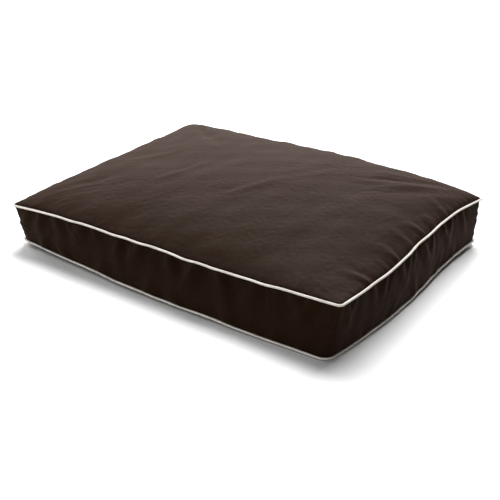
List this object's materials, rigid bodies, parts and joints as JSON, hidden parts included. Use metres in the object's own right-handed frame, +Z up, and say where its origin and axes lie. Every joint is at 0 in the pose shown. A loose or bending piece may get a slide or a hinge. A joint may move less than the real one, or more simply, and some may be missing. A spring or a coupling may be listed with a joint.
{
  "type": "pet cushion bed",
  "caption": "Rectangular boxed pet cushion with a crowned dark fabric cover, contrast piping round both seams, a zip in the back wall and a fibre filled liner.",
  "frame": {"origin": "centre of the footprint, on the surface that the bed rests on", "axes": "+X along the long side, -Y towards the front, the zip in the +Y side, +Z up"},
  "size_m": [0.9296, 0.7016, 0.182],
  "materials": {
    "cover_cloth": "brushed dark brown cover cloth",
    "piping_cloth": "plain off-white bias cloth",
    "cotton_cord": "twisted cotton cord",
    "muslin": "unbleached muslin",
    "fibre": "loose polyester fibre",
    "zip_tape": "woven polyester tape",
    "zip_coil": "nylon coil",
    "zip_metal": "dark plated zinc",
    "label": "blank satin ribbon"
  },
  "bodies": {
    "cushion": {"top_panel": "cover_cloth", "bottom_panel": "cover_cloth", "front_boxing": "cover_cloth", "right_boxing": "cover_cloth", "left_boxing": "cover_cloth", "back_boxing_upper": "cover_cloth", "back_boxing_lower": "cover_cloth", "top_piping_cover": "piping_cloth", "bottom_piping_cover": "piping_cloth", "top_piping_cord": "cotton_cord", "bottom_piping_cord": "cotton_cord", "liner_upper": "muslin", "liner_lower": "muslin", "fibre_fill": "fibre", "zip_tape_upper": "zip_tape", "zip_tape_lower": "zip_tape", "zip_coil_upper": "zip_coil", "zip_coil_lower": "zip_coil", "zip_top_stop_upper": "zip_metal", "zip_top_stop_lower": "zip_metal", "zip_bottom_stop": "zip_metal", "care_label": "label"},
    "slider": {"zip_slider": "zip_metal"},
    "pull": {"zip_pull": "zip_metal"}
  },
  "joints": [
    {"name": "zip_slide", "type": "slide", "parent": "cushion", "child": "slider", "axis": [-1, 0, 0], "range_m": [0, 0.764], "deforming": ["zip_coil_upper", "zip_coil_lower"]},
    {"name": "pull_swing", "type": "hinge", "parent": "slider", "child": "pull", "pos_m": [0.3805, 0.34075, 0.0655], "axis": [0, 0, -1], "range_deg": [0, 180]}
  ]
}
